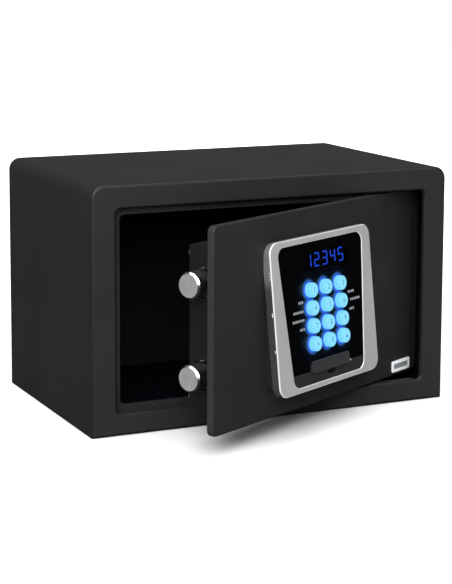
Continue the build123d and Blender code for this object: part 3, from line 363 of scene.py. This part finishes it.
def lit_segment():
    paint = Paint("digit_glow", Base_Color=(0.01, 0.02, 0.2), Roughness=0.4)
    unevenness = paint.noise(700, 1)
    paint.set("Emission Color", (0.02, 0.10, 1.0))
    paint.set("Emission Strength", paint.range(unevenness, 0.3, 0.7, 2.0, 2.8))
    return paint


def smoked_lens():
    """Black-tinted window in the panel; only lit things show through."""
    paint = Paint("smoked_lens", Specular_IOR_Level=0.24, Alpha=0.5)
    black_gloss(paint)
    return paint


def dark_backing():
    """Black mask behind the window, so that only the lit segments show."""
    paint = Paint("display_mask", Specular_IOR_Level=0.0)
    paint.set("Base Color", paint.mix(paint.noise(90), (0.0010, 0.0010, 0.0014), (0.0018, 0.0018, 0.0024)))
    paint.set("Roughness", paint.range(paint.noise(900), 0.3, 0.7, 0.7, 0.8))
    return paint


def satin_silver():
    """Metallic paint: satin face, a painted highlight on its edges, and painted shade on its side walls, lightened
    near their top.
    """
    paint = Paint("satin_silver", Metallic=0.35, Coat_Weight=0.15, Coat_Roughness=0.25)
    flakes = paint.cells(5200)
    cloud = paint.noise(25, 2)
    brushed = paint.noise(260, 3, (1, 1, 14))
    sparkle = paint.range(flakes, 0.0, 0.8, 0.15, 0.85)
    tone = paint.calc("ADD", sparkle, paint.range(cloud, 0.3, 0.7, -0.15, 0.15))
    out = paint.facing(PAD_OUT)
    # Painted shade: the side walls, which face away from the front, are painted dark.
    wall = paint.range(out, 0.3, 0.05)
    # Painted highlight: the rounded edges between the face and the walls are painted bright.
    rim = paint.band(out, 0.25, 0.94, 0.06)
    face = paint.mix(tone, (0.33, 0.33, 0.335), (0.43, 0.43, 0.435))
    middle_up = middle(spans("keypad_bezel", PAD_AXES)[1])
    # Painted light on the side walls: lighter near their top, darker below.
    lit = paint.range(paint.along(PAD_UP, middle_up), 24 * MM, 34 * MM)
    side = paint.mix(lit, (0.045, 0.045, 0.047), (0.19, 0.19, 0.192))
    side = paint.mix(paint.range(brushed, 0.3, 0.7, 0.0, 0.35), side, (0.09, 0.09, 0.092))
    paint.set("Base Color", paint.mix(rim, paint.mix(wall, face, side), (0.72, 0.72, 0.72)))
    paint.set("Roughness", paint.range(cloud, 0.3, 0.7, 0.30, 0.38))
    paint.set("Normal", paint.bump(flakes, 0.00001, 0.35))
    return paint


def satin_panel(name, colour):
    """Satin dark plastic, with painted shade that turns its moulded recesses black."""
    paint = moulded(name, colour, 0.36, 1500)
    # Painted shade: the recesses below the panel's face are painted black.
    deep = paint.range(paint.along(PAD_OUT, PANEL_LEVEL), -0.7 * MM, -0.3 * MM, 1.0, 0.0)
    tone = paint.surface.inputs["Base Color"].links[0].from_socket
    paint.set("Base Color", paint.mix(deep, tone, SHADE_BLACK))
    return paint


def carpet_paint(name, lift):
    """Needle felt of dark blue-grey fibres, mixed in tone."""
    paint = Paint(name, Specular_IOR_Level=0.02)
    fibre = paint.noise(1500, 3, (1, 3, 1))
    tuft = paint.noise(260, 3)
    blend = paint.calc("ADD", paint.calc("MULTIPLY", fibre, 0.55), paint.calc("MULTIPLY", tuft, 0.45))
    low = tuple(c * lift for c in (0.0007, 0.0008, 0.0014))
    high = tuple(c * lift for c in (0.0040, 0.0048, 0.0085))
    paint.set("Base Color", paint.mix(paint.range(blend, 0.36, 0.64), low, high))
    paint.set("Roughness", paint.range(fibre, 0.3, 0.7, 0.85, 1.0))
    paint.set("Normal", paint.bump(blend, 0.0004, 0.8))
    return paint


def printed_board():
    """Solder mask over a grid of copper tracks."""
    paint = Paint("board_green", Specular_IOR_Level=0.5)
    tracks = paint.cells(420, "DISTANCE_TO_EDGE")
    edge = paint.range(tracks, 0.02, 0.06)
    paint.set("Base Color", paint.mix(edge, (0.05, 0.26, 0.11), (0.012, 0.12, 0.05)))
    paint.set("Roughness", paint.range(paint.noise(300), 0.3, 0.7, 0.25, 0.38))
    paint.set("Normal", paint.bump(edge, 0.00003, 0.5))
    return paint


def ribbon_paint():
    """Grey ribbon with a groove between its conductors."""
    paint = Paint("cable_grey", Roughness=0.5)
    wave = paint.calc("SINE", paint.calc("MULTIPLY", paint.along(DOOR_ACROSS), 2 * math.pi / (1.27 * MM)))
    tint = paint.range(paint.noise(200), 0.3, 0.7)
    paint.set("Base Color", paint.mix(tint, (0.36, 0.37, 0.40), (0.46, 0.47, 0.50)))
    paint.set("Normal", paint.bump(wave, 0.0001, 0.8))
    return paint


def cell_paint():
    """Printed sleeve: a dark blue band with a copper-coloured end."""
    paint = Paint("cell_wrap", Coat_Weight=0.4, Coat_Roughness=0.1)
    low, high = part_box("battery_cells")
    level = paint.range(paint.along((0, 0, 1)), low.z, high.z)
    band = paint.range(level, 0.70, 0.705)
    scuff = paint.range(paint.noise(240), 0.3, 0.7)
    blue = paint.mix(scuff, (0.012, 0.035, 0.14), (0.02, 0.05, 0.18))
    paint.set("Base Color", paint.mix(band, blue, (0.55, 0.33, 0.12)))
    paint.set("Roughness", paint.range(scuff, 0.0, 1.0, 0.28, 0.36))
    return paint


def key_spot(key):
    """Where a key's axis is across and up the panel, and the level of its top."""
    across, up, out = spans("key_" + key, PAD_AXES)
    return middle(across), middle(up), out[1]


def bolt_spot(bolt):
    """Where a bolt's axis is across its own direction and in height."""
    across, up = spans(bolt, (DOOR_UP.cross(BOLT_OUT), DOOR_UP))
    return middle(across), middle(up)


KEY_SPOTS = {key: key_spot(key) for key in KEYS}
KEY_SKIRT = 0.9 * MM
skirt_span = spans("key_5", PAD_AXES)[0]
KEY_RADIUS = (skirt_span[1] - skirt_span[0]) / 2 - KEY_SKIRT
BOLT_SPOTS = [bolt_spot(bolt) for bolt in ("bolt_upper", "bolt_lower")]

PANEL_LEVEL = spans("fascia_lower", PAD_AXES)[2][1]
BLACK = (0.0150, 0.0150, 0.0154)
# Near black used as painted shade: inside the cabinet, on its seam and front edge, and in moulded recesses.
SHADE_BLACK = (0.0028, 0.0028, 0.0030)
PAINTS = {
    "powder_coat": powder_coat("powder_coat", BLACK),
    "zinc_steel": metal("zinc_steel", (0.52, 0.52, 0.50), 0.34),
    "chrome": turned_chrome("chrome", BOLT_OUT, BOLT_SPOTS),
    "satin_silver": satin_silver(),
    "housing_black": moulded("housing_black", (0.010, 0.010, 0.011), 0.5),
    "fascia_black": glossy_fascia(),
    "fascia_grey": satin_panel("fascia_grey", (0.016, 0.016, 0.018)),
    "smoked_lens": smoked_lens(),
    "key_glow": lit_key(),
    "digit_glow": lit_segment(),
    "print_white": moulded("print_white", (0.24, 0.25, 0.27), 0.6, 3000),
    "rubber_grey": moulded("rubber_grey", (0.22, 0.22, 0.23), 0.65),
    "board_green": printed_board(),
    "part_black": moulded("part_black", (0.018, 0.018, 0.019), 0.45),
    "nylon_white": moulded("nylon_white", (0.62, 0.61, 0.57), 0.45),
    "brass": metal("brass", (0.62, 0.46, 0.20), 0.25),
    "label_silver": moulded("label_silver", (0.86, 0.88, 0.89), 0.35, 1400),
    "cable_grey": ribbon_paint(),
    "cell_wrap": cell_paint(),
    "button_red": moulded("button_red", (0.42, 0.02, 0.02), 0.4),
    "carpet": carpet_paint("carpet", 1.0),
}
# Nodes that share a slot with others but have a paint of their own: the cabinet's coat carries painted shade, and
# the lock cover's coat is a darker, shaded copy of the powder coat.
shaded_cabinet_coat = powder_coat("shaded_cabinet_coat", BLACK, cabinet=True)
OWN_PAINTS = {
    # Painted shade: the lock cover's coat is a much darker copy of the powder coat.
    "lock_cover": powder_coat("shaded_cover_coat", (0.0040, 0.0040, 0.0042), (0.55, 0.68), 0.2),
    "display_module": dark_backing(),
    "keyhole_flap": satin_panel("flap_grey", (0.024, 0.024, 0.026)),
}
for node in ("outer_wrap", "front_frame", "back_panel", "base_plate", "door_stop_frame", "strike_bracket"):
    OWN_PAINTS[node] = shaded_cabinet_coat

for part in frame["record"]["subparts"]:
    paint = OWN_PAINTS.get(part["node"], PAINTS[part["material_slot"]])
    for material_slot in NODES[part["node"]].material_slots:
        material_slot.material = paint.material


# ---------------------------------------------------------------- mesh pieces
def piece(name, mesh_data, body, paint):
    """Turns a bmesh in the row frame into a piece that rides on a body."""
    mesh = bpy.data.meshes.new(name)
    mesh_data.to_mesh(mesh)
    mesh_data.free()
    made = bpy.data.objects.new(name, mesh)
    bpy.context.scene.collection.objects.link(made)
    mesh.materials.append(paint.material)
    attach(made, body)
    return made


def prism(target, outline, low, high, place):
    """Closed prism over a counter-clockwise outline, between two levels, in local axes."""
    rings = []
    for level in (low, high):
        rings.append([target.verts.new(place @ Vector((x, y, level))) for x, y in outline])
    target.faces.new(list(reversed(rings[0])))
    target.faces.new(rings[1])
    count = len(outline)
    for step in range(count):
        after = (step + 1) % count
        target.faces.new((rings[0][step], rings[0][after], rings[1][after], rings[1][step]))


def make_text(text, size):
    """Outline mesh of a short text, centred, in its own plane."""
    curve = bpy.data.curves.new("glyph", "FONT")
    curve.body = text
    curve.size = size
    curve.align_x = "CENTER"
    curve.align_y = "CENTER"
    curve.extrude = 0.04 * MM
    holder = bpy.data.objects.new("glyph", curve)
    bpy.context.scene.collection.objects.link(holder)
    bpy.context.view_layer.update()
    mesh = bpy.data.meshes.new_from_object(holder.evaluated_get(bpy.context.evaluated_depsgraph_get()))
    bpy.data.objects.remove(holder)
    bpy.data.curves.remove(curve)
    return mesh


def box_outline(half_w, low, high):
    """Counter-clockwise rectangle, centred across."""
    return [(-half_w, low), (half_w, low), (half_w, high), (-half_w, high)]


def on_circle(radius, angle, rise=0.0):
    return radius * math.cos(angle), rise + radius * math.sin(angle)


def digit_print(shape, key, place):
    glyph = make_text(key, PRINT_DIGIT)
    glyph.transform(place)
    shape.from_mesh(glyph)
    bpy.data.meshes.remove(glyph)


def cross_print(shape, place):
    half_long, half_thick = CROSS_HALF
    for turn in (45, -45):
        tilted = place @ Matrix.Rotation(math.radians(turn), 4, "Z")
        prism(shape, box_outline(half_long, -half_thick, half_thick), 0, PRINT_THICK, tilted)


def padlock_print(shape, place):
    """A body with an arched shackle, which is built of short segments."""
    prism(shape, box_outline(LOCK_HALF_W, LOCK_FOOT, LOCK_TOP), 0, PRINT_THICK, place)
    for step in range(SHACKLE_STEPS):
        first, second = (math.pi * (step + k) / SHACKLE_STEPS for k in (0, 1))
        outline = [
            on_circle(SHACKLE_INNER, first, LOCK_TOP),
            on_circle(SHACKLE_INNER, second, LOCK_TOP),
            on_circle(SHACKLE_OUTER, second, LOCK_TOP),
            on_circle(SHACKLE_OUTER, first, LOCK_TOP),
        ]
        prism(shape, outline, 0, PRINT_THICK, place)


def key_prints():
    """Small digits on the caps, a cross on the clear key and a padlock on the lock key."""
    glow = {"Emission_Color": (0.02, 0.22, 0.55), "Emission_Strength": 0.55}
    ink = moulded("key_ink", (0.02, 0.10, 0.20), 0.5, 2500, **glow)
    for key in KEYS:
        across, up, top = KEY_SPOTS[key]
        place = to_row(PAD_AXES, (across, up, top + PRINT_RISE))
        shape = bmesh.new()
        if key.isdigit():
            digit_print(shape, key, place)
        elif key == "clear":
            cross_print(shape, place)
        else:
            padlock_print(shape, place)
        piece("key_print_" + key, shape, "key_" + key, ink)


def label_inlay():
    """Grey print in the pocket of the label plate."""
    across, up, out = spans("label_plate", DOOR_AXES)
    inset = 2.7 * MM
    floor = out[1] - 0.3 * MM
    half_w = (across[1] - across[0]) / 2 - inset
    half_h = (up[1] - up[0]) / 2 - inset
    place = to_row(DOOR_AXES, (middle(across), middle(up), floor))
    ink = moulded("label_ink", (0.22, 0.23, 0.24), 0.45, 2600)
    shape = bmesh.new()
    prism(shape, box_outline(half_w, -half_h, half_h), 0.0, 0.12 * MM, place)
    piece("label_inlay", shape, "door", ink)


def carpet():
    """The mat as felt: lumpy and with soft edges."""
    source = NODES["floor_mat"]
    mesh = source.data.copy()
    backing = bpy.data.objects.new("carpet", mesh)
    bpy.context.scene.collection.objects.link(backing)
    remesh = backing.modifiers.new("remesh", "REMESH")
    remesh.mode = "VOXEL"
    remesh.voxel_size = CARPET_VOXEL
    bpy.context.view_layer.update()
    graph = bpy.context.evaluated_depsgraph_get()
    fine = bpy.data.meshes.new_from_object(backing.evaluated_get(graph))
    bpy.data.objects.remove(backing)
    low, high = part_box("floor_mat")
    for vertex in fine.vertices:
        lump = noise.noise(vertex.co * 140) * 0.35 + noise.noise(vertex.co * 520) * 0.25
        share = (vertex.co.z - low.z) / (high.z - low.z)
        vertex.co.z += (lump - 0.65) * MM * share
    made = bpy.data.objects.new("carpet", fine)
    bpy.context.scene.collection.objects.link(made)
    fine.materials.clear()
    fine.materials.append(PAINTS["carpet"].material)
    for polygon in fine.polygons:
        polygon.use_smooth = True
    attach(made, "safe_body")
    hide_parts("floor_mat")
    return made


def fibre(shape, root):
    """One bent fibre: a thin prism that narrows to a tip."""
    turn = random.uniform(0, 2 * math.pi)
    lean = Vector((math.cos(turn), math.sin(turn), 0)) * random.uniform(0.3, 1.1) * MM
    tall = random.uniform(0.5, 1.1) * MM
    thick = random.uniform(0.10, 0.17) * MM
    angles = [turn + k * 2 * math.pi / FIBRE_SIDES for k in range(FIBRE_SIDES)]
    spokes = [Vector((math.cos(angle), math.sin(angle), 0)) for angle in angles]
    rings = []
    for share, width in ((-0.3, 1.0), (0.55, 0.75)):
        centre = root + lean * max(0.0, share) ** 2 + Vector((0, 0, tall * share))
        rings.append([shape.verts.new(centre + spoke * thick * width) for spoke in spokes])
    tip = shape.verts.new(root + lean + Vector((0, 0, tall)))
    shape.faces.new(list(reversed(rings[0])))
    for k in range(FIBRE_SIDES):
        after = (k + 1) % FIBRE_SIDES
        shape.faces.new((rings[0][k], rings[0][after], rings[1][after], rings[1][k]))
        shape.faces.new((rings[1][k], rings[1][after], tip))


def carpet_pile(backing):
    """Short bent fibres scattered over the top of the felt."""
    random.seed(5)
    low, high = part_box("floor_mat")
    tops = [
        polygon
        for polygon in backing.data.polygons
        if polygon.normal.z > 0.8 and polygon.center.z > middle((low.z, high.z))
    ]
    shape = bmesh.new()
    for _ in range(PILE_FIBRES):
        fibre(shape, random.choice(tops).center)
    return piece("carpet_pile", shape, "safe_body", carpet_paint("carpet_fibre", 1.5))


def bezel_details():
    """Fine ribs and two clip tabs on the outer wall of the bezel."""
    across, up, out = spans("keypad_bezel", PAD_AXES)
    centre_up = middle(up)
    wall = across[0]
    proud = 0.45 * MM
    ribs = [(33 * MM, 0.7 * MM), (35.4 * MM, 0.7 * MM), (37.8 * MM, 0.7 * MM)]
    tabs = [(5.5 * MM, 3.4 * MM), (-23 * MM, 2.2 * MM)]
    for kind, rows in (("bezel_rib", ribs), ("bezel_tab", tabs)):
        for number, (level, tall) in enumerate(rows, 1):
            shape = bmesh.new()
            # A bar with its two outer corners cut off, standing on the wall.
            depth = (out[1] - 6.0 * MM, out[1] - 1.6 * MM)
            cut = 0.4 * MM
            outline = [
                (depth[0], 0),
                (depth[1], 0),
                (depth[1] - cut, proud),
                (depth[0] + cut, proud),
            ]
            axes = (PAD_OUT, -PAD_ACROSS, PAD_UP)
            place = to_row(axes, (0, -wall - 0.05 * MM, centre_up + level))
            prism(shape, outline, -tall / 2, tall / 2, place)
            piece(f"{kind}_{number}", shape, "door", PAINTS["satin_silver"])


key_prints()
label_inlay()
bezel_details()
felt = carpet()
pile = carpet_pile(felt)


# ---------------------------------------------------------------- stage, light and camera
def stage():
    """Pale floor that runs past the view on every side."""
    shape = bmesh.new()
    outline = box_outline(FLOOR_HALF, -FLOOR_HALF, FLOOR_HALF)
    shape.faces.new([shape.verts.new((x, y, 0)) for x, y in outline])
    mesh = bpy.data.meshes.new("floor")
    shape.to_mesh(mesh)
    shape.free()
    floor = bpy.data.objects.new("floor", mesh)
    bpy.context.scene.collection.objects.link(floor)
    floor.location.z = -FLOOR_DROP
    paint = Paint("floor", Specular_IOR_Level=0.1)
    paint.set("Base Color", paint.mix(paint.noise(3), (0.90, 0.90, 0.90), (0.92, 0.92, 0.92)))
    paint.set("Roughness", 0.8)
    mesh.materials.append(paint.material)
    # Gloss on the object shows the dark studio, not the bright floor.
    floor.visible_glossy = False


def softbox(name, place, target, size, power):
    light = bpy.data.lights.new(name, "AREA")
    light.shape = "RECTANGLE"
    light.size, light.size_y = size
    light.energy = power
    made = bpy.data.objects.new(name, light)
    bpy.context.scene.collection.objects.link(made)
    made.location = place
    made.rotation_euler = (Vector(target) - Vector(place)).to_track_quat("-Z", "Y").to_euler()
    made.visible_camera = False
    return made


def lights():
    world = bpy.data.worlds.new("studio")
    bpy.context.scene.world = world
    world.use_nodes = True
    tree = world.node_tree
    background = tree.nodes["Background"]
    background.inputs["Color"].default_value = (1.0, 1.0, 1.0, 1.0)
    seen = tree.nodes.new("ShaderNodeLightPath").outputs["Is Camera Ray"]
    level = tree.nodes.new("ShaderNodeMapRange")
    level.inputs["To Min"].default_value = WORLD_LIGHT
    level.inputs["To Max"].default_value = WORLD_SEEN
    tree.links.new(seen, level.inputs["Value"])
    tree.links.new(level.outputs["Result"], background.inputs["Strength"])
    sun = bpy.data.lights.new("sky", "SUN")
    sun.energy = SUN_STRENGTH
    sun.angle = SUN_ANGLE
    above = bpy.data.objects.new("sky", sun)
    bpy.context.scene.collection.objects.link(above)
    above.rotation_euler = SUN_TILT
    softbox("front_left", (-1.1, -2.0, 1.2), (0, 0, 0.1), (1.4, 1.2), 58.0)
    # Fill for the back and right side; its reflection is left out so that the top stays even.
    fill = softbox("back_right", (1.3, 1.7, 1.2), (0, 0, 0.1), (1.2, 1.0), 45.0)
    fill.visible_glossy = False
    # A dim card for the bolts' end faces to reflect.
    softbox("left_card", (-0.75, -0.12, 0.0), (-0.15, -0.15, 0.0), (0.9, 0.9), 1.3)


def camera():
    yaw, pitch, roll = (math.radians(v) for v in (CAMERA_YAW, CAMERA_PITCH, CAMERA_ROLL))
    ahead = Vector((math.sin(yaw) * math.cos(pitch), math.cos(yaw) * math.cos(pitch), -math.sin(pitch)))
    right = Vector((math.cos(yaw), -math.sin(yaw), 0))
    up = right.cross(ahead)
    right, up = right * math.cos(roll) + up * math.sin(roll), up * math.cos(roll) - right * math.sin(roll)
    data = bpy.data.cameras.new("camera")
    data.lens = CAMERA_LENS
    data.sensor_width = 36
    data.shift_x, data.shift_y = CAMERA_SHIFT
    data.clip_start, data.clip_end = 0.05, 100
    made = bpy.data.objects.new("camera", data)
    bpy.context.scene.collection.objects.link(made)
    made.matrix_world = Matrix.Translation(CAMERA_PLACE) @ Matrix((right, up, -ahead)).transposed().to_4x4()
    bpy.context.scene.camera = made


stage()
lights()
camera()
bpy.context.scene.view_settings.view_transform = "Standard"
